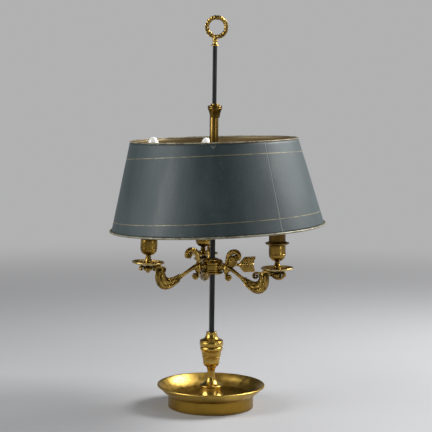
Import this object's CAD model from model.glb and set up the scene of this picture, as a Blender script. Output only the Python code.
import math
import random

import bmesh
import bpy
import numpy as np
from mathutils import Matrix, Vector, noise


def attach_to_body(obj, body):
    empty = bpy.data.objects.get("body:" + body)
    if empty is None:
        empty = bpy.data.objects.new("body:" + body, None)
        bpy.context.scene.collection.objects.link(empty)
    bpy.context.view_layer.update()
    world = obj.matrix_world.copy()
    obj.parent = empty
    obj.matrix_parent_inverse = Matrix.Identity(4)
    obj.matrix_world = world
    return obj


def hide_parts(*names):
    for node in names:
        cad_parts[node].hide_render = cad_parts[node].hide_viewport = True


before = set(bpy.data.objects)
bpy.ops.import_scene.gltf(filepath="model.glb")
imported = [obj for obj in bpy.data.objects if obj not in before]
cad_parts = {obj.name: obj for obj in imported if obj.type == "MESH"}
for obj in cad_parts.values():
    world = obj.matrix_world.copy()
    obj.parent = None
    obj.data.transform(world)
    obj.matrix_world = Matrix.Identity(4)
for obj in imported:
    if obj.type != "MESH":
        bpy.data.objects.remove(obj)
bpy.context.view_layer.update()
random.seed(7)

# Lengths in this file are millimetres, and become metres in add_mesh.
MM = 0.001
HUB_HEIGHT = 253.0
HUB_LEAN = 2.0
ARM_ANGLES = {"right": -31.0, "back": 98.0, "left": 212.0}
ARM_DROPS = {"right": 0.0, "back": 4.4, "left": 0.0}
CANDLE_LEANS = {"right": -3.0, "back": -1.0, "left": 0.0}
CANDLE_RADIUS = 131.0
PAN_UNDER = 258.6
KEY_ANGLE = 34.0
ROD_TURN = 18.0
ROD_BOTTOM, ROD_JOINT, ROD_TOP = 112.0, 333.0, 641.0
WREATH_FOOT, WREATH_HEIGHT = 651.6, 674.0
WREATH_LEAN = 6.5
WREATH_RADIUS = 16.1
WREATH_BUNDLES = 10


# Placing
def shift(*place):
    return Matrix.Translation(place)


def turn(degrees, axis, pivot=(0, 0, 0)):
    pivot = Vector(pivot)
    spin = Matrix.Rotation(math.radians(degrees), 4, axis)
    return Matrix.Translation(pivot) @ spin @ Matrix.Translation(-pivot)


LEAN = turn(HUB_LEAN, "Y", (0, 0, HUB_HEIGHT))
AT_HUB = LEAN @ shift(0, 0, HUB_HEIGHT)
AT_KEY = AT_HUB @ turn(KEY_ANGLE, "Z")


def at_arm(side):
    """For what is drawn along +X with the hub's middle at the origin. The back arm is bent down a little."""
    droop = math.degrees(math.asin(ARM_DROPS[side] / CANDLE_RADIUS))
    return AT_HUB @ turn(ARM_ANGLES[side], "Z") @ turn(droop, "Y")


def at_candle(side):
    """For what is drawn about Z at its height above the floor, before the hub and the candle lean."""
    angle = ARM_ANGLES[side]
    foot = Matrix.Rotation(math.radians(angle), 4, "Z") @ Vector((CANDLE_RADIUS, 0, PAN_UNDER))
    out = Matrix.Rotation(math.radians(angle), 4, "Z") @ shift(CANDLE_RADIUS, 0, -ARM_DROPS[side])
    return LEAN @ turn(CANDLE_LEANS[side], "Y", foot) @ out


# Meshes
def store_relief(mesh):
    """Vertex attribute that is above 0 on edges and below 0 in hollows."""
    count = len(mesh.vertices)
    places = np.empty(count * 3)
    normals = np.empty(count * 3)
    ends = np.empty(len(mesh.edges) * 2, np.int32)
    mesh.vertices.foreach_get("co", places)
    mesh.vertices.foreach_get("normal", normals)
    mesh.edges.foreach_get("vertices", ends)
    places = places.reshape(-1, 3)
    normals = normals.reshape(-1, 3)
    first, second = ends[0::2], ends[1::2]
    step = places[second] - places[first]
    reach = np.linalg.norm(step, axis=1) + 1e-9
    bend = np.zeros(count)
    weight = np.zeros(count) + 1e-9
    np.add.at(bend, first, -(step * normals[first]).sum(1) / reach)
    np.add.at(bend, second, (step * normals[second]).sum(1) / reach)
    np.add.at(weight, first, 1.0)
    np.add.at(weight, second, 1.0)
    bend = bend / weight
    total = np.zeros(count)
    np.add.at(total, first, bend[second])
    np.add.at(total, second, bend[first])
    relief = 0.6 * bend + 0.4 * total / weight
    mesh.attributes.new("relief", "FLOAT", "POINT").data.foreach_set("value", relief.astype(np.float32))


def attach(name, mesh, body, replaces):
    """Object of a mesh that rides on a body and stands for nodes of the frame."""
    piece = bpy.data.objects.new(name, mesh)
    bpy.context.scene.collection.objects.link(piece)
    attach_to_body(piece, body)
    if replaces:
        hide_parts(*replaces)


def add_mesh(name, parts, place, material, body, replaces=(), sharp=38.0, slot="polished_brass"):
    """One object from (vertices, faces) parts in millimetres, placed, smoothed and joined to its body.

    Edges sharper than so many degrees stay sharp.
    """
    mesh_builder = bmesh.new()
    for vertices, faces in parts:
        made = [mesh_builder.verts.new((place @ Vector(v)) * MM) for v in vertices]
        for face in faces:
            corners = [made[i] for i in dict.fromkeys(face)]
            if len(corners) > 2:
                mesh_builder.faces.new(corners)
    bmesh.ops.remove_doubles(mesh_builder, verts=mesh_builder.verts, dist=2e-7)
    bmesh.ops.dissolve_degenerate(mesh_builder, edges=mesh_builder.edges, dist=1e-7)
    bmesh.ops.recalc_face_normals(mesh_builder, faces=mesh_builder.faces)
    mesh = bpy.data.meshes.new(name)
    mesh_builder.to_mesh(mesh)
    mesh_builder.free()
    mesh.shade_smooth()
    mesh.set_sharp_from_angle(angle=math.radians(sharp))
    store_relief(mesh)
    mesh.materials.append(material)
    attach(name, mesh, body, replaces)


def outline(start, *steps, fineness=7):
    """Points of a closed outline. A step of two numbers is a line, and one of two points is an arc."""
    points = [Vector(start)]
    for step in steps:
        if not isinstance(step[0], tuple):
            points.append(Vector(step))
            continue
        here, middle, there = points[-1], Vector(step[0]), Vector(step[1])
        ax, ay, bx, by = middle.x - here.x, middle.y - here.y, there.x - here.x, there.y - here.y
        spread = 2 * (ax * by - ay * bx)
        if abs(spread) < 1e-6:
            points.append(there)
            continue
        a2, b2 = ax * ax + ay * ay, bx * bx + by * by
        centre = here + Vector(((by * a2 - ay * b2) / spread, (ax * b2 - bx * a2) / spread))
        angles = [math.atan2(p.y - centre.y, p.x - centre.x) for p in (here, middle, there)]
        sweep = (angles[2] - angles[0]) % math.tau
        if (angles[1] - angles[0]) % math.tau > sweep:
            sweep -= math.tau
        radius = (here - centre).length
        for index in range(1, fineness + 1):
            angle = angles[0] + sweep * index / fineness
            points.append(centre + radius * Vector((math.cos(angle), math.sin(angle))))
    return points


NEARLY_STRAIGHT = 0.35


def softened(points, radius=0.35):
    """Rounds each corner of a closed outline, so that its edge catches the light."""
    soft = []
    for index, corner in enumerate(points):
        before, after = points[index - 1], points[(index + 1) % len(points)]
        back, onward = before - corner, after - corner
        on_axis_or_double = corner.x < 0.01 or min(back.length, onward.length) < 1e-6
        if on_axis_or_double or math.pi - back.angle(onward) < NEARLY_STRAIGHT:
            soft.append(corner)
            continue
        reach = min(radius, back.length * 0.4, onward.length * 0.4)
        enter = corner + back.normalized() * reach
        leave = corner + onward.normalized() * reach
        soft += [enter, (enter + leave) / 4 + corner / 2, leave]
    return soft


def lathe(points, segments=96, lobes=0, lobe_depth=0.0, lobe_from=-1e9, lobe_to=1e9):
    """Turns a closed outline of radius and height about Z."""
    points = softened(points)
    vertices, faces = [], []
    for radius, height in points:
        depth = lobe_depth if lobe_from < height < lobe_to else 0.0
        for index in range(segments):
            angle = math.tau * index / segments
            reach = radius * (1 + depth * (abs(math.cos(lobes * angle / 2)) - 1)) if lobes else radius
            vertices.append((reach * math.cos(angle), reach * math.sin(angle), height))
    rows = len(points)
    for row in range(rows):
        following = (row + 1) % rows
        if points[row].x < 1e-4 and points[following].x < 1e-4:
            continue
        for index in range(segments):
            onward = (index + 1) % segments
            faces.append((row * segments + index, row * segments + onward,
                          following * segments + onward, following * segments + index))
    return vertices, faces


def rows_to_part(rows, closed_across=True, cap=True):
    """Skin over rows of points."""
    width = len(rows[0])
    vertices = [point for row in rows for point in row]
    faces = []
    for row in range(len(rows) - 1):
        for index in range(width if closed_across else width - 1):
            onward = (index + 1) % width
            faces.append((row * width + index, row * width + onward,
                          (row + 1) * width + onward, (row + 1) * width + index))
    if cap:
        for row in (0, len(rows) - 1):
            centre = sum((Vector(p) for p in rows[row]), Vector()) / width
            vertices.append(tuple(centre))
            for index in range(width):
                faces.append((row * width + index, row * width + (index + 1) % width, len(vertices) - 1))
    return vertices, faces


def spline(knots, count):
    """Smooth run through knots of any number of values, evenly spaced by knot."""
    runs = len(knots) - 1
    result = []
    for index in range(count):
        place = runs * index / (count - 1)
        run = min(int(place), runs - 1)
        t = place - run
        p1, p2 = knots[run], knots[run + 1]
        p0 = knots[run - 1] if run else tuple(2 * a - b for a, b in zip(p1, p2))
        p3 = knots[run + 2] if run + 2 <= runs else tuple(2 * b - a for a, b in zip(p1, p2))
        result.append(tuple(
            0.5 * (2 * b + (c - a) * t + (2 * a - 5 * b + 4 * c - d) * t * t
                + (3 * b - a - 3 * c + d) * t ** 3)
            for a, b, c, d in zip(p0, p1, p2, p3)))
    return result


def sweep(knots, count, around=24, shape=None):
    """Solid along a curve in the X-Z plane. A knot is distance, height, half thickness, half width across."""
    stations = spline(knots, count)
    rows = []
    for index, (along, up, thick, wide) in enumerate(stations):
        before = stations[max(index - 1, 0)]
        after = stations[min(index + 1, count - 1)]
        heading = Vector((after[0] - before[0], 0, after[1] - before[1])).normalized()
        outward = Vector((-heading.z, 0, heading.x))
        row = []
        for step in range(around):
            angle = math.tau * step / around
            factor = shape(index / (count - 1), angle) if shape else 1.0
            row.append(tuple(Vector((along, 0, up)) + outward * thick * factor * math.cos(angle)
                             + Vector((0, 1, 0)) * wide * factor * math.sin(angle)))
        rows.append(row)
    return rows_to_part(rows)


def volute(centre, start, turns, radius, end_radius, thick, wide, points=14):
    """Knots of a spiral that winds in towards its centre, from a start angle in degrees."""
    knots = []
    for index in range(points):
        t = index / (points - 1)
        angle = math.radians(start) + math.tau * turns * t
        reach = radius + (end_radius - radius) * t
        fade = 1 - 0.55 * t
        knots.append((centre[0] + reach * math.cos(angle), centre[1] + reach * math.sin(angle),
            thick * fade, wide * (1 - 0.25 * t)))
    return knots


# Materials
def new_material(name, values=None):
    """Material, its node tree and its shader, with the values that are the same all over it."""
    material = bpy.data.materials.new(name)
    material.use_nodes = True
    shader = material.node_tree.nodes["Principled BSDF"]
    for key, value in (values or {}).items():
        shader.inputs[key].default_value = value
    return material, material.node_tree, shader


def node(tree, kind, values=None, **settings):
    made = tree.nodes.new(kind)
    for key, value in settings.items():
        setattr(made, key, value)
    for key, value in (values or {}).items():
        made.inputs[key].default_value = value
    return made


def noise_at(tree, scale, detail=4.0, stretch=(1, 1, 1), rough=0.55):
    """Noise over the object, with scale in ripples for each metre and stretch for each axis."""
    mapping = node(tree, "ShaderNodeMapping", {"Scale": stretch})
    texture = node(tree, "ShaderNodeTexNoise", {"Scale": scale, "Detail": detail, "Roughness": rough})
    tree.links.new(coordinates(tree, "Object"), mapping.inputs["Vector"])
    tree.links.new(mapping.outputs["Vector"], texture.inputs["Vector"])
    return texture.outputs["Fac"]


def ramp(tree, source, low, high, low_value=0.0, high_value=1.0):
    made = node(tree, "ShaderNodeMapRange", {
        "From Min": low, "From Max": high, "To Min": low_value, "To Max": high_value})
    made.interpolation_type = "SMOOTHSTEP"
    tree.links.new(source, made.inputs["Value"])
    return made.outputs["Result"]


def seen_by_eye(tree):
    """1 for what the camera sees, straight or in metal or glass."""
    path = node(tree, "ShaderNodeLightPath").outputs
    straight_or_mirrored = maths(tree, "MAXIMUM", path["Is Camera Ray"], path["Is Glossy Ray"])
    return maths(tree, "MAXIMUM", straight_or_mirrored, path["Is Transmission Ray"])


def maths(tree, operation, first, second=0.0):
    made = node(tree, "ShaderNodeMath", operation=operation)
    for socket, value in zip(made.inputs, (first, second)):
        if isinstance(value, (int, float)):
            socket.default_value = value
        else:
            tree.links.new(value, socket)
    return made.outputs["Value"]


def times(tree, first, second):
    return maths(tree, "MULTIPLY", first, second)


def plus(tree, first, second):
    return maths(tree, "ADD", first, second)


def minus(tree, first, second):
    return maths(tree, "SUBTRACT", first, second)


def distance(tree, value):
    return maths(tree, "ABSOLUTE", value)


def split_up(tree, vector):
    """X, Y and Z of a vector socket."""
    split = node(tree, "ShaderNodeSeparateXYZ")
    tree.links.new(vector, split.inputs["Vector"])
    return split.outputs["X"], split.outputs["Y"], split.outputs["Z"]


def coordinates(tree, kind):
    return node(tree, "ShaderNodeTexCoord").outputs[kind]


def mixed(tree, factor, first, second):
    """Colour between two colours or sockets, by a factor's socket."""
    made = node(tree, "ShaderNodeMix", data_type="RGBA")
    for index, value in ((0, factor), (6, first), (7, second)):
        if isinstance(value, tuple):
            made.inputs[index].default_value = value + (1.0,)
        else:
            tree.links.new(value, made.inputs[index])
    return made.outputs[2]


def finish(tree, shader, tone, roughness, height, strength, depth):
    """Joins colour, roughness and a bump, whose depth is in metres, to the shader."""
    bump = node(tree, "ShaderNodeBump", {"Strength": strength, "Distance": depth})
    tree.links.new(height, bump.inputs["Height"])
    for source, name in ((tone, "Base Color"), (roughness, "Roughness"),
            (bump.outputs["Normal"], "Normal")):
        tree.links.new(source, shader.inputs[name])


def radius_in(tree):
    """Distance from the Z axis."""
    flat = node(tree, "ShaderNodeVectorMath", operation="MULTIPLY")
    flat.inputs[1].default_value = (1, 1, 0)
    length = node(tree, "ShaderNodeVectorMath", operation="LENGTH")
    tree.links.new(coordinates(tree, "Object"), flat.inputs[0])
    tree.links.new(flat.outputs["Vector"], length.inputs[0])
    return length.outputs["Value"]


BAND_BLUR = 0.0006


def brass(name, bright, deep, patina, low_rough, high_rough, grain, bump, marks=False, band_top=None):
    """Brass with blotchy tone, patina in its hollows, rubbed edges and fine grain, browner below band_top."""
    material, tree, shader = new_material(name, {"Metallic": 1.0})
    blotches = noise_at(tree, 38.0, 5.0)
    relief = node(tree, "ShaderNodeAttribute", attribute_name="relief").outputs["Fac"]
    hollow = ramp(tree, relief, -0.03, -0.3)
    edge = ramp(tree, relief, 0.05, 0.35)
    shelter = node(tree, "ShaderNodeAmbientOcclusion", {"Distance": 0.011}, samples=6)
    closed_in = ramp(tree, shelter.outputs["AO"], 0.88, 0.34)
    tone = mixed(tree, ramp(tree, blotches, 0.35, 0.68), bright, deep)
    if band_top:
        height = split_up(tree, coordinates(tree, "Object"))[2]
        low_down = ramp(tree, height, band_top + BAND_BLUR, band_top - BAND_BLUR, 0.0, 0.8)
        tone = mixed(tree, low_down, tone, tuple(c * k for c, k in zip(deep, (0.66, 0.58, 0.36))))
    dirt = times(tree, maths(tree, "MAXIMUM", hollow, closed_in), 0.85)
    tone = mixed(tree, dirt, tone, patina)
    rubbed = tuple(min(1.0, c * 1.12 + 0.03) for c in bright)
    tone = mixed(tree, times(tree, edge, 0.7), tone, rubbed)
    smears = noise_at(tree, 120.0, 6.0, (1, 1, 0.4))
    roughness = ramp(tree, smears, 0.3, 0.72, low_rough, high_rough)
    roughness = plus(tree, roughness, times(tree, dirt, 0.25))
    height = noise_at(tree, grain, 5.0)
    if marks:
        rings = node(tree, "ShaderNodeTexNoise", {"Scale": 900.0, "Detail": 3.0}, noise_dimensions="1D")
        tree.links.new(radius_in(tree), rings.inputs["W"])
        height = plus(tree, times(tree, height, 0.4), rings.outputs["Fac"])
    finish(tree, shader, tone, roughness, height, bump, 0.0004)
    return material


dish_brass = brass("dish_brass", (0.6, 0.4, 0.092), (0.43, 0.275, 0.053), (0.13, 0.085, 0.024), 0.27,
    0.4, 420.0, 0.16, True, 0.0213)
turned_brass = brass("turned_brass", (0.55, 0.365, 0.088), (0.38, 0.24, 0.048), (0.06, 0.04, 0.012), 0.23,
    0.35, 300.0, 0.07)
arm_brass = brass("arm_brass", (0.34, 0.215, 0.046), (0.17, 0.102, 0.018), (0.022, 0.014, 0.005), 0.15,
    0.27, 300.0, 0.08)
pan_brass = brass("pan_brass", (0.62, 0.48, 0.21), (0.34, 0.225, 0.055), (0.03, 0.02, 0.007), 0.22, 0.34,
    300.0, 0.08)
gilt_bronze = brass("gilt_bronze", (0.44, 0.285, 0.067), (0.17, 0.102, 0.019), (0.012, 0.008, 0.003), 0.16,
    0.32, 520.0, 0.25)
sleeve_brass = brass("sleeve_brass", (0.15, 0.088, 0.02), (0.095, 0.053, 0.012), (0.05, 0.028, 0.008),
    0.36, 0.52, 300.0, 0.12)
dark_brass = brass("dark_brass", (0.2, 0.125, 0.027), (0.12, 0.07, 0.014), (0.035, 0.021, 0.006), 0.22,
    0.36, 260.0, 0.1)


def steel(name, dark, worn, rough, metallic, specular):
    """Steel with rubbed corners, stains and drawn marks along its length."""
    material, tree, shader = new_material(name, {"Metallic": metallic, "Specular IOR Level": specular})
    stains = noise_at(tree, 60.0, 6.0, (1, 1, 0.25))
    relief = node(tree, "ShaderNodeAttribute", attribute_name="relief").outputs["Fac"]
    tone = mixed(tree, ramp(tree, stains, 0.42, 0.75), dark, worn)
    tone = mixed(tree, times(tree, ramp(tree, relief, 0.04, 0.3), 0.55), tone, worn)
    drawn = noise_at(tree, 500.0, 3.0, (1, 1, 0.02))
    roughness = ramp(tree, drawn, 0.3, 0.7, rough - 0.08, rough + 0.1)
    finish(tree, shader, tone, roughness, drawn, 0.12, 0.0003)
    return material


black_steel = steel("black_steel", (0.005, 0.005, 0.0055), (0.022, 0.022, 0.022), 0.38, 0.0, 0.3)
plain_steel = steel("plain_steel", (0.42, 0.41, 0.4), (0.62, 0.61, 0.6), 0.34, 0.9, 0.5)


def matte(name, first, second, scale, rough, bump, metallic=0.0, sheen=0.0):
    """Two close tones in a fine grain."""
    material, tree, shader = new_material(name, {"Metallic": metallic, "Sheen Weight": sheen})
    grain = noise_at(tree, scale, 6.0)
    tone = mixed(tree, ramp(tree, grain, 0.3, 0.7), first, second)
    roughness = ramp(tree, grain, 0.2, 0.8, rough - 0.06, rough + 0.06)
    finish(tree, shader, tone, roughness, grain, bump, 0.0005)
    return material


green_felt = matte("green_felt", (0.03, 0.1, 0.055), (0.05, 0.15, 0.08), 1400.0, 0.92, 0.6, 0.0, 0.4)
cast_iron = matte("cast_iron_weight", (0.1, 0.09, 0.09), (0.17, 0.15, 0.14), 260.0, 0.75, 0.5, 0.5)
black_moulding = matte("black_moulding", (0.018, 0.018, 0.018), (0.03, 0.03, 0.03), 300.0, 0.4, 0.1)
wire_cover = matte("wire_cover", (0.3, 0.2, 0.08), (0.22, 0.14, 0.05), 500.0, 0.6, 0.2)
cap_metal = matte("cap_metal", (0.66, 0.65, 0.62), (0.52, 0.51, 0.48), 300.0, 0.28, 0.1, 1.0)


def opal():
    """Frosted white glass with a faint cloudiness."""
    material, tree, shader = new_material("opal_glass", {"Coat Weight": 0.3, "Coat Roughness": 0.1})
    cloud = noise_at(tree, 70.0, 4.0)
    tone = mixed(tree, ramp(tree, cloud, 0.3, 0.7), (0.88, 0.87, 0.83), (0.93, 0.92, 0.89))
    roughness = ramp(tree, cloud, 0.2, 0.8, 0.22, 0.34)
    finish(tree, shader, tone, roughness, noise_at(tree, 900.0, 2.0), 0.05, 0.0002)
    return material


opal_glass = opal()

# Shade: the two rims' planes, and the cone between them
TOP_RADIUS, TOP_PLACE, TOP_LEAN = 147.7, Vector((0.4, 0, 477.4)), -2.0
BOTTOM_RADIUS, BOTTOM_PLACE, BOTTOM_LEAN = 187.8, Vector((8.6, 0, 324.0)), -3.0
HALF_SHEET = 0.35
TOP_WIRE = 1.3
BOTTOM_WIRE = 1.9
LIP_RADIUS = BOTTOM_RADIUS + HALF_SHEET + BOTTOM_WIRE
RIM_TO_RIM = 153.4
SHADE_SLOPE = (BOTTOM_RADIUS - TOP_RADIUS) / RIM_TO_RIM
SHADE_HEIGHT = 158.5
GILT_HALF_WIDTH = 0.5
SEAM_ANGLE = -54.4
SEAM_RADIUS = 168.0
CHIP_RADIUS = 150.0
CHIP_AROUND, CHIP_DOWN = 0.7485, 0.036
# The foot of the spider's bar at the back left stands against the sheet and swells it a little
SPIDER_FOOT_ANGLE = math.radians(150.0)
SPIDER_FOOT_DOWN = 0.08
FOOT_SWELL = 0.3
SHEET_DENT = 0.55


def shade_point(angle, down, offset):
    """Point on the sheet: angle in radians, down from 0 at the top rim to 1 at the bottom rim."""
    inset = TOP_WIRE + 0.05
    top_reach = TOP_RADIUS + SHADE_SLOPE * inset + offset
    top = Vector((top_reach * math.cos(angle), top_reach * math.sin(angle), -inset))
    bottom_reach = BOTTOM_RADIUS + offset
    bottom = Vector((bottom_reach * math.cos(angle), bottom_reach * math.sin(angle), 0))
    top = TOP_PLACE + Matrix.Rotation(math.radians(TOP_LEAN), 3, "Y") @ top
    bottom = BOTTOM_PLACE + Matrix.Rotation(math.radians(BOTTOM_LEAN), 3, "Y") @ bottom
    return top.lerp(bottom, down)


def sheet_layout(tree):
    """Place on the shade's sheet: turns around it, and down from 0 to 1."""
    return split_up(tree, node(tree, "ShaderNodeUVMap", uv_map="sheet").outputs["UV"])[:2]


def shade_paint():
    """Satin paint with gilt lines, a soldered seam, rubbed marks and a chip at the soldered front foot."""
    material, tree, shader = new_material("shade_paint", {"Specular IOR Level": 0.6})
    around, down = sheet_layout(tree)
    angle = times(tree, around, math.tau)
    along_x, along_y = maths(tree, "COSINE", angle), maths(tree, "SINE", angle)

    def line(base, y_part):
        """1 on a gilt line, whose height changes a little around the shade."""
        place = plus(tree, times(tree, along_x, -0.02), times(tree, along_y, y_part))
        away = distance(tree, minus(tree, down, plus(tree, place, base)))
        return ramp(tree, times(tree, away, SHADE_HEIGHT), GILT_HALF_WIDTH * 1.3, GILT_HALF_WIDTH * 0.7)

    gilt = maths(tree, "MAXIMUM", line(0.171, 0.044), line(0.873, 0.023))
    worn = ramp(tree, noise_at(tree, 55.0, 6.0), 0.34, 0.58, 0.35, 1.0)
    gilt = times(tree, gilt, worn)

    streaks = noise_at(tree, 26.0, 5.0, (1, 1, 0.16))
    clouds = noise_at(tree, 11.0, 6.0, (1, 1, 1), 0.62)
    specks = noise_at(tree, 620.0, 3.0)
    tone = mixed(tree, ramp(tree, streaks, 0.3, 0.72), (0.016, 0.031, 0.032), (0.027, 0.047, 0.05))
    tone = mixed(tree, ramp(tree, clouds, 0.48, 0.78, 0.0, 0.55), tone, (0.05, 0.074, 0.078))
    tone = mixed(tree, ramp(tree, specks, 0.62, 0.74, 0.0, 0.55), tone, (0.13, 0.165, 0.155))
    flecks = ramp(tree, noise_at(tree, 210.0, 6.0, (1, 1, 1), 0.7), 0.3, 0.42, 0.55, 0.0)
    tone = mixed(tree, flecks, tone, (0.012, 0.021, 0.023))
    scuffs = ramp(tree, noise_at(tree, 48.0, 8.0, (1, 1, 0.5), 0.72), 0.62, 0.76, 0.0, 0.5)
    tone = mixed(tree, scuffs, tone, (0.12, 0.15, 0.145))

    seam_place = (SEAM_ANGLE / 360.0) % 1.0
    across = times(tree, minus(tree, around, seam_place), math.tau * SEAM_RADIUS)
    seam_light = ramp(tree, distance(tree, plus(tree, across, 1.2)), 1.15, 0.35)
    seam_dark = ramp(tree, distance(tree, minus(tree, across, 0.9)), 1.5, 0.5)
    tone = mixed(tree, times(tree, seam_dark, 0.7), tone, (0.016, 0.026, 0.028))
    tone = mixed(tree, times(tree, seam_light, 0.55), tone, (0.26, 0.29, 0.27))
    edge_wear = ramp(tree, plus(tree, times(tree, noise_at(tree, 90.0, 5.0), 0.05), down), 1.014, 1.024)
    tone = mixed(tree, edge_wear, tone, (0.42, 0.38, 0.26))
    tone = mixed(tree, gilt, tone, (0.3, 0.255, 0.14))

    # V-shaped chip at the front, just under the top rim
    chip_across = times(tree, minus(tree, around, CHIP_AROUND), math.tau * CHIP_RADIUS)
    chip_down = times(tree, minus(tree, down, CHIP_DOWN), SHADE_HEIGHT)
    leg = plus(tree, distance(tree, chip_across), times(tree, chip_down, 0.8))
    chip = ramp(tree, distance(tree, minus(tree, leg, 1.4)), 1.0, 0.4)
    chip = times(tree, chip, ramp(tree, distance(tree, chip_down), 3.8, 3.0))
    chip = times(tree, chip, ramp(tree, distance(tree, chip_across), 4.4, 3.6))
    tone = mixed(tree, times(tree, chip, 0.7), tone, (0.3, 0.29, 0.24))

    satin = ramp(tree, streaks, 0.25, 0.75, 0.48, 0.6)
    satin = plus(tree, satin, times(tree, scuffs, 0.15))
    satin = minus(tree, satin, times(tree, gilt, 0.1))
    tree.links.new(times(tree, gilt, 0.6), shader.inputs["Metallic"])
    brushed = times(tree, noise_at(tree, 240.0, 4.0, (1, 1, 0.08)), 0.5)
    height = plus(tree, brushed, times(tree, clouds, 1.6))
    height = plus(tree, height, times(tree, noise_at(tree, 150.0, 5.0, (1, 1, 1), 0.65), 0.5))
    height = plus(tree, height, ramp(tree, across, -0.6, 0.4, 0.0, 1.4))
    height = minus(tree, height, chip)
    finish(tree, shader, tone, satin, height, 0.22, 0.0012)
    return material


outside_paint = shade_paint()


def shade_lining():
    """Pale gold lining, browned by heat near the top."""
    material, tree, shader = new_material("shade_lining", {"Metallic": 0.45})
    clouds = noise_at(tree, 14.0, 6.0)
    tone = mixed(tree, ramp(tree, clouds, 0.35, 0.7), (0.27, 0.2, 0.09), (0.19, 0.13, 0.05))
    tone = mixed(tree, ramp(tree, sheet_layout(tree)[1], 0.35, 0.0, 0.0, 0.35), tone, (0.14, 0.085, 0.028))
    roughness = ramp(tree, clouds, 0.2, 0.8, 0.36, 0.5)
    finish(tree, shader, tone, roughness, noise_at(tree, 220.0, 4.0), 0.2, 0.0004)
    return material


inside_paint = shade_lining()


def rim_paint(name, pale, gilt, soiled):
    """Cream and gilt paint, rubbed to metal and soiled in places."""
    material, tree, shader = new_material(name, {"Metallic": 0.25})
    patches = noise_at(tree, 70.0, 6.0)
    tone = mixed(tree, ramp(tree, patches, 0.42, 0.62), pale, gilt)
    soil = ramp(tree, noise_at(tree, 150.0, 6.0), 0.52, 0.7, 0.0, 0.75)
    tone = mixed(tree, soil, tone, soiled)
    finish(tree, shader, tone, ramp(tree, patches, 0.3, 0.7, 0.3, 0.46), patches, 0.3, 0.0006)
    return material


top_rim_paint = rim_paint("top_rim_paint", (0.34, 0.3, 0.2), (0.17, 0.13, 0.065), (0.06, 0.055, 0.04))
bottom_rim_paint = rim_paint("bottom_rim_paint", (0.31, 0.29, 0.21), (0.19, 0.165, 0.1),
    (0.07, 0.065, 0.045))


# Base and stem
HOME = Matrix.Identity(4)


def turned_piece(name, steps, material, replaced, place=HOME, body="base", segments=96, **finish):
    """Piece turned about Z from its outline, in the place of one node of the frame."""
    add_mesh(name, [lathe(outline(*steps), segments)], place, material, body, [replaced], **finish)


add_mesh("dish", [lathe(outline((5, 13), (61, 13), ((67.3, 14.6), (71.3, 17.5)), (73.9, 17.5), (73.9, 0),
    (75.9, 0), (76.3, 0.6), (76.25, 8), (76.1, 16), (76.2, 20.5), (76.8, 21.6),
    ((85.8, 28.3), (93.2, 37.1)), ((96.4, 38.6), (94.6, 40.4)), (93.2, 40.2), (91.4, 38.9), (86.3, 33.2),
    ((78.1, 24.9), (68, 19)), ((64.6, 17.4), (61.5, 16)), (61, 15.7), (60.2, 16), (44, 16), (30, 16),
    (5, 16), fineness=14), 192)], HOME, dish_brass, "base", ["base_dish"], 50, "satin_brass")

turned_piece("bell_foot", (
    (5, 16), (26.8, 16), (27, 17.2), (26, 17.9), ((20.4, 23.8), (18, 33.6)), (17.6, 35.2), (18.7, 35.7),
    ((20.4, 37.4), (19, 39.2)), (17.6, 39.7), (16.6, 40.2), ((10, 46), (7.1, 57)), (6.9, 62),
    ((7.1, 66.6), (8.6, 70.4)), (8.8, 71.2), (8.4, 72), (5, 72)), turned_brass, "stem_foot")

turned_piece("vase", (
    (5, 72), (9.2, 72), ((13.2, 75), (14.7, 81.4)), (16.1, 90.2), (16.4, 90.5), (16.1, 90.8), (16.7, 91.2),
    (17.4, 96.2), (18.3, 101), (19.4, 101.6), ((20.4, 104.4), (19.7, 107.4)), (18.8, 108.3), (20.2, 109.2),
    ((21.2, 113.4), (20.6, 117.2)), (19.8, 118), (12.5, 118), (12.5, 88), (5, 84)), turned_brass,
    "vase_body")

turned_piece("vase_cap", (
    (5.6, 118), (19.8, 118), (21, 118.6), (20.8, 119.6), (19.4, 120.2), ((13.4, 123), (10.1, 129)),
    (9.5, 130.2), (9.6, 133.6), (9.2, 134.4), (5.6, 134.5)), turned_brass, "vase_cover")


# Mast
def square_bar(side, bottom, top):
    """Bar with rounded corners, not quite straight along its edges."""
    half, corner = side / 2, 0.55
    rows = []
    count = max(4, int((top - bottom) / 6))
    for level in range(count + 1):
        height = bottom + (top - bottom) * level / count
        row = []
        for quarter in range(4):
            for step in range(4):
                angle = math.radians(90 * quarter + 30 * step)
                spin = Matrix.Rotation(math.radians(90 * quarter), 2)
                centre = spin @ Vector((half - corner, half - corner))
                wobble = 0.05 * noise.noise(Vector((quarter * 7, step * 0.6, height * 0.11)))
                row.append((centre.x + (corner + wobble) * math.cos(angle),
                    centre.y + (corner + wobble) * math.sin(angle), height))
        rows.append(row)
    return rows_to_part(rows)


add_mesh("mast_lower", [square_bar(7.7, ROD_BOTTOM, ROD_JOINT)], turn(ROD_TURN, "Z"), black_steel, "base",
    ["rod_lower"], 30, "blackened_steel")
add_mesh("mast_upper", [square_bar(6.3, ROD_JOINT, ROD_TOP)], turn(ROD_TURN, "Z"), black_steel, "base",
    ["rod_upper"], 30, "blackened_steel")
turned_piece("mast_joint", (
    (2, 326), (7.4, 326), (8, 327), (8, 331.4), (7.6, 332.2), (8, 333), (8, 337), (6.4, 340), (2, 340)),
    black_steel, "rod_coupler", segments=64, slot="blackened_steel")

turned_piece("finial_neck", (
    (2.4, 641), (6.3, 641), (6.8, 641.9), (6.6, 642.8), (5, 643.9), ((3.7, 646.8), (4.4, 650)), (5, 650.8),
    (4.6, 652.2), (2.4, 652.2)), turned_brass, "finial_collar", segments=64)


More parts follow.
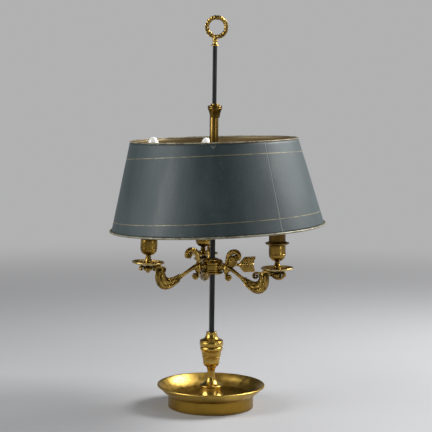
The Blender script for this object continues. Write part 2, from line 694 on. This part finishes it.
def leaf(length, width, thickness, cup=0, rows=9, across=8):
    """Pointed leaf along +X with a raised midrib, as a closed solid."""
    stations = []
    for index in range(rows):
        t = index / (rows - 1)
        half = width / 2 * math.sin(math.pi * min(1, t * 0.94 + 0.06)) ** 0.75 + 0.02
        rise = cup * math.sin(math.pi * t)
        row = []
        for step in range(2 * across):
            angle = math.tau * step / (2 * across)
            side, top = math.cos(angle), math.sin(angle)
            ridge = 1 + 0.5 * math.exp(-(side / 0.25) ** 2) if top > 0 else 1.0
            body = thickness / 2 * math.sin(math.pi * min(1, t * 0.9 + 0.1)) ** 0.6 + 0.02
            row.append((length * t, half * side, rise + body * top * ridge))
        stations.append(row)
    return rows_to_part(stations)


def moved(part, matrix):
    return [tuple(matrix @ Vector(v)) for v in part[0]], part[1]


def wreath():
    """Laurel ring: pointed leaves climb both sides from a tied foot to the top, with berries between."""
    radius, parts = WREATH_RADIUS, []
    rolls = (
        (0, 8.6, 5.2, 15), (180, 8.2, 5, 22), (62, 8.8, 5.2, 22), (-62, 8.8, 5.2, 22),
        (118, 8.4, 4.8, 26), (-118, 8.4, 4.8, 26))
    berry = [Vector(p) for p in ((0, -1.2), (0.85, -0.85), (1.2, 0), (0.85, 0.85), (0, 1.2))]
    for side in (1, -1):
        for index in range(WREATH_BUNDLES):
            for order, (roll, length, width, splay) in enumerate(rolls):
                t = (index + 0.15 + 0.5 * (order in (0, 1))) / WREATH_BUNDLES
                angle = math.radians(-90) + side * math.pi * min(t, 0.985)
                place = Vector((radius * math.cos(angle), 0, radius * math.sin(angle)))
                stem = Matrix.Translation(place) @ Matrix.Rotation(-angle - side * math.pi / 2, 4, "Y")
                stem = stem @ turn(roll, "X") @ shift(0, 0, 0.7)
                tip = turn(-splay + random.uniform(-2, 4), "Y") @ turn(random.uniform(-9, 9), "Z")
                parts.append(moved(leaf(length, width, 1.3, 0.5, 7, 5), stem @ tip))
            if index % 3 == 1:
                for face in (1, -1):
                    spot = Vector((radius * math.cos(angle), face * 3.9, radius * math.sin(angle)))
                    parts.append(moved(lathe(berry, 12), Matrix.Translation(spot)))
    ring_rows = []
    for index in range(65):
        angle = math.tau * index / 64
        row = []
        for step in range(8):
            inner = math.tau * step / 8
            reach = radius + 1.1 * math.cos(inner)
            row.append((reach * math.cos(angle), 1.1 * math.sin(inner), reach * math.sin(angle)))
        ring_rows.append(row)
    parts.append(rows_to_part(ring_rows, True, False))
    parts.append(sweep([(-2.6, -radius, 2.6, 2.9), (-0.9, -radius - 0.3, 3.5, 3.8),
        (0.9, -radius - 0.3, 3.5, 3.8), (2.6, -radius, 2.6, 2.9)], 9, 20))
    return parts


LEAN_WREATH = turn(WREATH_LEAN, "Y", (0, 0, WREATH_FOOT))
add_mesh("laurel_wreath", wreath(), LEAN_WREATH @ shift(0, 0, WREATH_HEIGHT), gilt_bronze, "base",
    ["finial_wreath"], 45)
add_mesh("wreath_stalk", [lathe(outline((0, 650.6), (3.8, 650.6), (4.2, 652.6), (3.2, 654.6), (3.4, 657.4),
    (0, 657.4)), 48)], HOME, turned_brass, "base")

# Hub
add_mesh("hub_body", [lathe(outline(
    (13, -9), (17.5, -9), (17.5, -6.2), (16.7, -5.6), (17.5, -5), (17.5, 2.6), (16.7, 3.2), (17.5, 3.8),
    (17.5, 7), (13, 7))), moved(lathe(outline((2.5, 15), (5, 15), (5, 22.4), (4.2, 24), (2.5, 24)), 40),
    turn(KEY_ANGLE, "Z") @ turn(90, "Y"))],
    AT_HUB, arm_brass, "cluster", ["hub_drum"])
turned_piece("hub_top", (
    (6.6, 7), (18.4, 7), (19.2, 7.9), (18.5, 9), ((16, 11.9), (11.6, 13)), (10.2, 12.9), (10, 14.2),
    (9.4, 14.6), (6.6, 14.6)), arm_brass, "hub_dome", AT_HUB, "cluster")
turned_piece("hub_under", (
    (6.6, -13.4), (16, -13.4), ((18.8, -12.6), (19.8, -10.8)), (19.4, -9.4), (18.2, -9), (6.6, -9)),
    arm_brass, "hub_flange", AT_HUB, "cluster")

# Key in the form of an arrow
ALONG_X = turn(90, "Y")
add_mesh("key_shaft", [moved(lathe(outline((0, 6.1), (2.1, 6.1), (2.4, 6.6), (2.4, 24), (3.9, 24.4),
    (4.2, 25.2), (4.2, 27.2), (3.9, 28), (2.9, 28.6), (2.4, 30), (2.3, 52), (0, 52)), 32), ALONG_X)],
    AT_KEY, arm_brass, "clamp_key", ["key_screw"])


def vane(sign):
    """One side of the fletching: slanted barbs from the quill to a ragged edge."""
    columns, levels, pitch = 61, 15, 5.0
    rows = []
    for column in range(columns):
        s = column / (columns - 1)
        front, back = [], []
        for level in range(levels):
            t = level / (levels - 1)
            start = 58.0 + 12.0 * t ** 1.35
            end = 89.4 + 4.4 * t
            along = start + (end - start) * s
            barb = math.tau * (along - 11.0 * t) / pitch
            top = 14.4 - 0.7 * (0.5 + 0.5 * math.cos(barb))
            up = 2.0 + (top - 2) * t
            thick = (0.8 + 0.74 * math.cos(barb)) * (1 - 0.35 * t) + 0.12
            bow = 0.5 * math.sin(math.pi * t)
            front.append((along, -thick - bow, sign * up))
            back.append((along, thick - bow, sign * up))
        rows.append(front + back[::-1])
    return rows_to_part(rows)


quill = moved(lathe(outline(
    (0, 54), (2.6, 54), (3.4, 56), (3, 58), (2, 61), (1.9, 86), (1.6, 90), (0, 91)), 24, 10, 0.12, 57, 90),
    ALONG_X)
add_mesh("key_feather", [vane(1), vane(-1), quill], AT_KEY, gilt_bronze, "clamp_key", ["key_fletching"], 50)


# Arms
BUD = [(63, -15.6, 3.7, 3.7), (70, -20, 4.2, 4.4), (80, -25, 6, 6.4), (89, -27.8, 7.8, 7.8),
    (97, -26.6, 8.8, 8.4), (102.6, -21.5, 8.8, 8.2), (105, -13, 7.2, 7), (104.4, -6, 5.2, 5.4),
    (103.4, -1.5, 4.3, 4.4)]


def bud_shape(t, angle):
    """Fluted skin with sharp valleys that twist slightly along the bud."""
    flute = abs(math.cos(4.5 * (angle + 0.5 * t)))
    fade = math.sin(math.pi * min(1, max(0, t * 0.96 + 0.02)))
    return 1 + 0.26 * fade * (flute ** 0.55 - 0.85)


def bud_point(t, angle, lift):
    """Point at a height over the bud's skin."""
    stations = spline(BUD, 60)
    place = min(max(t, 0), 1) * 59
    low = min(int(place), 58)
    mix = place - low
    along, up, thick, wide = (a * (1 - mix) + b * mix for a, b in zip(stations[low], stations[low + 1]))
    heading = Vector((
        stations[low + 1][0] - stations[low][0], 0, stations[low + 1][1] - stations[low][1])).normalized()
    outward = Vector((-heading.z, 0, heading.x))
    radial = outward * math.cos(angle) + Vector((0, 1, 0)) * math.sin(angle)
    across = Vector((0, wide, 0)) * math.sin(angle)
    point = Vector((along, 0, up)) + outward * thick * math.cos(angle) + across
    return point + radial * lift + heading * (max(t - 1, 0) * 40)


def acanthus(start, end, angle, spread, lift, peel, lobes=4, rows=25, across=13):
    """Leaf laid over the bud: lobed outline, raised midrib, veins, and a tip that peels away."""
    top, under = [], []
    for index in range(rows):
        s = index / (rows - 1)
        t = start + (end - start) * s
        outer = math.sin(math.pi * min(1, 0.08 + 0.92 * s)) ** 0.6
        width = outer * (0.72 + 0.28 * abs(math.sin(math.pi * lobes * s ** 1.15)))
        tip_lift = peel * max(0, (s - 0.62) / 0.38) ** 1.7
        top_row, under_row = [], []
        for step in range(across):
            side = 2 * step / (across - 1) - 1
            where = angle + math.radians(spread) * width * side
            rib = 1.5 * math.exp(-(side / 0.18) ** 2)
            vein = 1.15 * math.cos(math.tau * (lobes * s ** 1.15 - 0.9 * abs(side)))
            edge = (1 - side * side) ** 0.4
            height = lift * edge + (rib + vein * abs(side)) * edge * 0.85 + tip_lift
            top_row.append(tuple(bud_point(t, where, height)))
            under_row.append(tuple(bud_point(t, where, tip_lift - 0.9 + 0.5 * abs(side))))
        top.append(top_row)
        under.append(under_row)
    return rows_to_part([a + b[::-1] for a, b in zip(top, under)])


def rosette(centre, radius, depth, petals):
    """Flower with a button, the same on both faces, facing across the arm."""
    rings, around = 9, petals * 8
    rows = []
    for face in (-1, 1):
        order = range(rings) if face < 0 else range(rings - 2, -1, -1)
        for index in order:
            t = index / (rings - 1)
            row = []
            for step in range(around):
                angle = math.tau * step / around
                petal = abs(math.cos(petals * angle / 2))
                reach = radius * t * (1 - 0.16 * (1 - petal ** 0.7) * t)
                button = math.exp(-(t / 0.24) ** 4)
                swell = math.sin(math.pi * min(1, 0.12 + t * 0.88)) ** 0.8
                height = depth / 2 * (
                    0.12 + 0.78 * swell * (0.55 + 0.45 * petal) * (1 - button) + 0.95 * button)
                height *= 1.0 if t < 0.999 else 0.4
                row.append((centre[0] + reach * math.cos(angle), face * height,
                    centre[1] + reach * math.sin(angle)))
            rows.append(row)
    return rows_to_part(rows)


def scroll_shape(t, angle):
    """Leafy band: scalloped at its sides, with a sunk vein along its back."""
    scallop = 0.2 * abs(math.sin(math.pi * 10 * t)) * abs(math.sin(angle)) ** 2
    vein = 0.16 * math.exp(-((abs(math.cos(angle)) - 1) / 0.05) ** 2)
    reed = 0.07 * abs(math.cos(5 * angle)) ** 0.7
    return 0.9 + reed + (scallop - vein) * math.sin(math.pi * t)


def branch_shape(t, angle):
    return 0.93 + 0.09 * abs(math.cos(3 * angle)) ** 0.6


def make_arm(side):
    """Cast arm, drawn along +X with the hub's middle at the origin."""
    parts = [sweep([(17, 0, 5, 5), (19, 0, 5.2, 5.2), (22, 0, 4.2, 4.2), (26, 0, 4.4, 4.6), (31, 0, 5, 5.4),
        (36, -0.6, 4.4, 4.8), (42, -3.4, 3.5, 3.9), (50, -8, 3.2, 3.5), (58, -12.8, 3.3, 3.5),
        (66, -17.4, 3.8, 3.9)], 46, 24, branch_shape)]
    parts.append(sweep(BUD, 70, 72, bud_shape))
    for angle, start, end, spread, lift, peel in (
            (0, 0.1, 0.98, 30, 1, 3), (72, 0.16, 0.96, 32, 0.9, 2.4), (-72, 0.16, 0.96, 32, 0.9, 2.4),
            (144, 0.12, 0.92, 31, 0.9, 2), (-144, 0.12, 0.92, 31, 0.9, 2), (180, 0.3, 0.97, 26, 1.5, 1.6),
            (36, 0.02, 0.5, 17, 0.7, 1.4), (-36, 0.02, 0.5, 17, 0.7, 1.4),
            (108, 0.02, 0.46, 18, 0.7, 1.3), (-108, 0.02, 0.46, 18, 0.7, 1.3)):
        parts.append(acanthus(start, end, math.radians(angle), spread, lift, peel))
    # Leaf tip that curls back towards the hub, short and upright on the left arm
    if side == "left":
        curl = [(104.5, -15, 3, 5), (103.6, -9, 2.5, 5), (102, -4, 2.1, 4.6)]
        curl += volute((98.8, -2.6), 20, 0.95, 3.2, 0.9, 1.7, 4, 10)
    else:
        curl = [(104.5, -15, 3, 5.2), (103, -8, 2.6, 5.6), (99.5, -3.6, 2.2, 5.6), (94.6, -2, 1.9, 5.2)]
        curl += volute((89.6, -8.2), 70, 1.15, 6, 1.3, 2, 4.8, 12)
    parts.append(sweep(curl, 60, 20, lambda t, angle: 0.88 + 0.17 * abs(math.cos(3 * angle))))
    # Stalk over to the candle
    parts.append(sweep([(103.6, -4, 4, 4.2), (104.4, -0.6, 3.9, 4.4), (107.6, 1.2, 3.4, 4.6),
        (113, 1.7, 3, 4.4), (120, 1.4, 3.2, 4.4), (131, 1, 3.8, 4.6)], 26, 20, branch_shape))
    # Leafy C-scroll, from the lower rosette round to the upper one
    band = [(38, -20.4, 1.6, 3), (34, -21.8, 2, 3.4), (30.2, -18.6, 2.2, 3.8), (29.4, -12, 2.3, 3.8),
        (29.4, -5, 2.4, 3.8), (29.4, 3, 2.4, 3.8), (29.9, 12, 3, 4.2), (32, 20.5, 4.1, 4.6),
        (36, 26.4, 5, 4.8), (41.6, 29.4, 5.3, 4.8), (47.6, 29.6, 4.8, 4.6), (53, 26.6, 3.6, 4.2),
        (55.6, 21.4, 2.4, 3.6), (54.6, 16, 1.7, 2.9)]
    parts.append(sweep(band, 130, 34, scroll_shape))
    if side == "right":
        rise = shift(31, 0, 0) @ turn(-52, "Y") @ turn(90, "X")
        parts.append(moved(leaf(31, 19, 4.4, 0, 15, 12), rise))
    parts.append(rosette((49.6, 20), 6.2, 12, 6))
    parts.append(rosette((35.2, -17), 6, 10, 6))
    # Drop-shaped boss where the scroll crosses the branch, and turned rings up to the drum
    drop = outline((0, -11.5), (2.4, -11), ((6.4, -5), (5.9, 1)), ((4.4, 6.6), (2.2, 9.8)), (0, 10.4))
    parts.append(moved(lathe(drop, 40), shift(29.4, 0, -0.5)))
    rings = outline((0, 16), (5.9, 16), (6.4, 17), (5.9, 18.2), (4.5, 18.7), (4.5, 20.2), (5.5, 20.9),
        (5.5, 22.3), (4.4, 23), (4.2, 26), (0, 26))
    parts.append(moved(lathe(rings, 40), ALONG_X))
    # Pendant leaves and curls under the pan
    pendant = outline((0, 5.4), (6.6, 5.4), (7.2, 4.2), (6.2, 2.4), ((8.6, -0.6), (5, -4.2)), (3.2, -5),
        (3.6, -6.2), (2.4, -7.6), (0, -8.2))
    parts.append(moved(lathe(pendant, 56, 7, 0.22, -5, 2.3), shift(CANDLE_RADIUS, 0, 0)))
    for index in range(6):
        heading = shift(CANDLE_RADIUS, 0, 0) @ turn(60 * index, "Z")
        hook = [(3, 1.6, 1.5, 3.4), (7, 2.2, 1.5, 3.8), (11, 2.4, 1.4, 3.8)]
        hook += volute((13.2, -0.9), 95, -0.95, 3.4, 0.9, 1.3, 3.2, 10)
        parts.append(moved(sweep(hook, 34, 14), heading))
    if side != "left":
        parts.append(sweep([(117, 0.6, 2.2, 3.8), (122, -3, 2.8, 4.6), (129, -6.4, 3.1, 5),
            (136, -7.2, 2.9, 4.8), (141.6, -4.8, 2.4, 4.2), (144.6, -0.8, 1.9, 3.6),
            (144.4, 2.6, 1.2, 2.8)], 44, 20, lambda t, angle: 0.86 + 0.19 * abs(math.cos(3 * angle))))
    return parts


def drip_pan():
    return lathe(outline((3.2, 258.7), (9, 258.7), ((20, 259.5), (26.4, 262)), ((28.4, 263.5), (27.6, 265)),
        (26.6, 264.7), ((18, 261.6), (9.4, 260.6)), (8.6, 261.3), (7.4, 260.9), (3.2, 260.9), fineness=10))


def candle_cup():
    return lathe(outline((3.2, 260.9), (6.8, 260.9), (7.2, 261.6), (6.2, 262.8), ((6.3, 266), (4.5, 270.4)),
        (4.3, 271.4), (5, 271.9), (4.9, 272.9), (4.2, 273.4), ((4.1, 275), (5.2, 276.2)),
        ((11.4, 279.4), (14.4, 286.4)), (14.6, 287.2), (15.2, 287.8), (14.7, 288.4), (14.65, 297),
        (14.5, 303.5), (13.4, 303.5), (13.4, 289), ((11, 284.8), (8, 283)), (3.2, 283)))


def cup_flange():
    return lathe(outline((13.4, 303.5), (15.4, 303.5), ((18.8, 304.9), (20.8, 306.6)), (21.2, 307.2),
        (20.8, 307.9), ((18, 308.5), (15.8, 309.5)), (15, 310), (14.4, 309.9), (14.4, 306), (13.4, 306)))


def candle_sleeve():
    return lathe(outline((13.5, 306), (14.4, 306), (14.4, 340), (14.4, 372), (14.4, 401.6), (14.1, 403),
        (13.5, 403)))


def bulb():
    knots = [(0, 480), (4.2, 478.6), (6.8, 475.4), (11.5, 465), (15.8, 450), (17.5, 433), (14.4, 419),
        (9.6, 409.6), (7.6, 403.3)]
    curve = [Vector((max(0, r), z)) for r, z in spline(knots, 41)]
    curve[0].x = 0.0
    return lathe(curve + [Vector((0, 403.3))], 64)


CANDLE_PIECES = (
    ("pan_", "drip_pan_", drip_pan(), pan_brass, "polished_brass"),
    ("cup_", "candle_cup_", candle_cup(), arm_brass, "polished_brass"),
    ("flange_", "cup_flange_", cup_flange(), dark_brass, "polished_brass"),
    ("sleeve_", "candle_sleeve_", candle_sleeve(), sleeve_brass, "aged_brass"),
    ("bulb_", "bulb_glass_", bulb(), opal_glass, "opal_glass"),
)
for side in ARM_ANGLES:
    add_mesh("cast_arm_" + side, make_arm(side), at_arm(side), gilt_bronze, "cluster", ["arm_" + side], 52)
    for name, replaced, part, material, slot in CANDLE_PIECES:
        add_mesh(name + side, [part], at_candle(side), material, "cluster", [replaced + side], slot=slot)


# Shade
def shade_sheet():
    """Outer and inner skins of the cone, uneven like hand-rolled sheet, with a layout for the paint."""
    around, levels = 360, 40
    builder = bmesh.new()
    layout = builder.loops.layers.uv.new("sheet")
    skins = []
    for skin, offset in enumerate((HALF_SHEET, -HALF_SHEET)):
        rows = []
        for level in range(levels + 1):
            down = level / levels
            row = []
            for step in range(around):
                angle = math.tau * step / around
                calm = math.sin(math.pi * down) ** 0.7
                dent = noise.noise(Vector((2.2 * math.cos(angle), 2.2 * math.sin(angle), 1.3 * down)))
                dent += 0.35 * noise.noise(
                    Vector((6.5 * math.cos(angle), 6.5 * math.sin(angle), 3.5 * down)))
                off_foot = (angle - SPIDER_FOOT_ANGLE) * TOP_RADIUS, (down - SPIDER_FOOT_DOWN) * SHADE_HEIGHT
                swell = FOOT_SWELL * math.exp(-(off_foot[0] / 11) ** 2 - (off_foot[1] / 13) ** 2)
                offset_here = offset + SHEET_DENT * calm * dent + swell
                row.append(builder.verts.new(shade_point(angle, down, offset_here) * MM))
            rows.append(row)
        skins.append(rows)
        for level in range(levels):
            for step in range(around):
                onward = (step + 1) % around
                upper, lower = rows[level], rows[level + 1]
                corners = [upper[step], upper[onward], lower[onward], lower[step]]
                if skin == 0:
                    corners.reverse()
                face = builder.faces.new(corners)
                face.smooth = True
                face.material_index = skin
                for loop in face.loops:
                    at_level = level + (loop.vert in lower)
                    at_step = step + (loop.vert in (upper[onward], lower[onward]))
                    loop[layout].uv = (at_step / around, at_level / levels)
    for level in (0, levels):
        for step in range(around):
            onward = (step + 1) % around
            outer, inner = skins[0][level], skins[1][level]
            corners = [outer[step], outer[onward], inner[onward], inner[step]]
            if level:
                corners.reverse()
            face = builder.faces.new(corners)
            face.material_index = 1
    mesh = bpy.data.meshes.new("shade_cone")
    builder.to_mesh(mesh)
    builder.free()
    mesh.materials.append(outside_paint)
    mesh.materials.append(inside_paint)
    attach("shade_cone", mesh, "shade", ["shade_shell"])


shade_sheet()


def wired_rim(radius, wire, place, lean, turns=240):
    """Sheet rolled over a wire, a little uneven."""
    rows = []
    for index in range(turns):
        angle = math.tau * index / turns
        swell = 1 + 0.06 * noise.noise(Vector((9 * math.cos(angle), 9 * math.sin(angle), radius)))
        wave = 0.2 * noise.noise(Vector((4 * math.cos(angle), 4 * math.sin(angle), radius + 5)))
        row = []
        for step in range(14):
            inner = math.tau * step / 14
            reach = radius + wire * swell * 0.95 * math.cos(inner)
            row.append((reach * math.cos(angle), reach * math.sin(angle),
                wire * swell * 0.92 * math.sin(inner) + wave))
        rows.append(row)
    rows.append(rows[0])
    return rows_to_part(rows, True, False), Matrix.Translation(place) @ turn(lean, "Y")


part, place = wired_rim(TOP_RADIUS, TOP_WIRE, TOP_PLACE, TOP_LEAN)
add_mesh("top_rim", [part], place, top_rim_paint, "shade", ["shade_top_rim"], slot="gilt_rim")
part, place = wired_rim(LIP_RADIUS, BOTTOM_WIRE, BOTTOM_PLACE, BOTTOM_LEAN)
add_mesh("bottom_rim", [part], place, bottom_rim_paint, "shade", ["shade_bottom_rim"], slot="gilt_rim")

# Sleeve, its ring and cap
turned_piece("sleeve_tube", ((4.9, 452), (7.4, 452), (7.8, 452.5), (7.8, 523.8), (4.9, 524)), dark_brass,
    "shade_sleeve", HOME, "shade_carrier", 64)
turned_piece("sleeve_cap_turned", (
    (4.9, 516), (7.9, 516), (8.8, 516.4), ((9.9, 524), (12.2, 530.4)), (12.8, 531.2), (12.7, 532.7),
    (12.1, 533.4), (12.8, 534.2), ((12.7, 536.2), (11.4, 537.1)), (8, 537.6), (7.5, 538.6), (7.3, 540.4),
    (4.9, 540.5)), dark_brass, "sleeve_cap", shift(1.2, 0, 0), "shade_carrier", 72)

# Pieces whose shape comes from the frame
FINISHES = {
    "base_weight": cast_iron, "base_felt": green_felt, "cord_bushing": turned_brass,
    "cord_bushing_nut": plain_steel, "stem_tube": plain_steel, "stem_washer": plain_steel,
    "stem_nut": plain_steel, "vase_nut": plain_steel,
    "shade_spider": dark_brass, "sleeve_ring": turned_brass, "shade_thumbscrew": turned_brass,
}
for side in ARM_ANGLES:
    FINISHES["arm_wire_" + side] = wire_cover
    FINISHES["lampholder_" + side] = black_moulding
    FINISHES["bulb_cap_" + side] = cap_metal
for name, material in FINISHES.items():
    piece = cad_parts[name]
    piece.data.materials.clear()
    piece.data.materials.append(material)

# Floor, which fades into the background far from the lamp. Distances are metres from here on.
FLOOR_TONE = (0.44, 0.44, 0.445)
OVERHEAD_TONE = (0.04, 0.04, 0.043)
SKYLIGHT = 0.35
FADE_START, FADE_END = 0.9, 2.6
builder = bmesh.new()
bmesh.ops.create_circle(builder, cap_ends=True, segments=96, radius=9.0)
floor_mesh = bpy.data.meshes.new("floor")
builder.to_mesh(floor_mesh)
builder.free()
floor = bpy.data.objects.new("floor", floor_mesh)
bpy.context.scene.collection.objects.link(floor)
floor.location = (0, 0, -0.0002)
material, tree, shader = new_material("floor", {"Base Color": FLOOR_TONE + (1.0,), "Roughness": 0.75})
backdrop = node(tree, "ShaderNodeEmission", {"Color": FLOOR_TONE + (1.0,), "Strength": 1.0})
far = ramp(tree, radius_in(tree), FADE_START, FADE_END)
blend = node(tree, "ShaderNodeMixShader")
tree.links.new(times(tree, far, seen_by_eye(tree)), blend.inputs["Fac"])
tree.links.new(shader.outputs["BSDF"], blend.inputs[1])
tree.links.new(backdrop.outputs["Emission"], blend.inputs[2])
tree.links.new(blend.outputs["Shader"], tree.nodes["Material Output"].inputs["Surface"])
floor_mesh.materials.append(material)

# World: pale at the horizon, darker overhead
world = bpy.data.worlds.new("studio")
world.use_nodes = True
bpy.context.scene.world = world
tree = world.node_tree
background = tree.nodes["Background"]
overhead = ramp(tree, split_up(tree, coordinates(tree, "Generated"))[2], 0.07, 0.3)
tree.links.new(mixed(tree, overhead, FLOOR_TONE, OVERHEAD_TONE), background.inputs["Color"])
tree.links.new(ramp(tree, seen_by_eye(tree), 0.0, 1.0, SKYLIGHT, 1.0), background.inputs["Strength"])


AIM = Vector((0, 0, 0.3))


def softbox(name, place, width, height, power, tint=(1, 1, 1)):
    """Rectangular lamp that faces the aim, with its power in watts."""
    light = bpy.data.lights.new(name, "AREA")
    light.shape = "RECTANGLE"
    light.size = width
    light.size_y = height
    light.energy = power
    light.color = tint
    lamp = bpy.data.objects.new(name, light)
    bpy.context.scene.collection.objects.link(lamp)
    lamp.location = place
    lamp.rotation_euler = (AIM - Vector(place)).to_track_quat("-Z", "Y").to_euler()


softbox("key_light", (1.45, 0.39, 1.47), 0.9, 1.0, 58.0, (0.985, 0.99, 1.0))
softbox("strip_light", (1.37, -1.28, 0.98), 0.35, 1.4, 6.0, (0.98, 0.99, 1.0))
softbox("fill_light", (-1.68, -0.68, 1.15), 1.1, 1.3, 31.0, (0.97, 0.985, 1.0))
softbox("top_light", (0.1, 0.5, 2.1), 1.0, 0.8, 5.0)

# Camera, with its lens and sensor in millimetres and its angles in degrees
LENS, SENSOR = 112.0, 36.0
CAMERA_PLACE = (0.0054, -2.37, 0.57)
CAMERA_PITCH, CAMERA_ROLL = 5.49, 0.7
camera_data = bpy.data.cameras.new("camera")
camera_data.lens = LENS
camera_data.sensor_width = SENSOR
camera = bpy.data.objects.new("camera", camera_data)
bpy.context.scene.collection.objects.link(camera)
camera.matrix_world = shift(*CAMERA_PLACE) @ turn(90 - CAMERA_PITCH, "X") @ turn(CAMERA_ROLL, "Z")
bpy.context.scene.camera = camera
bpy.context.scene.view_settings.view_transform = "Standard"
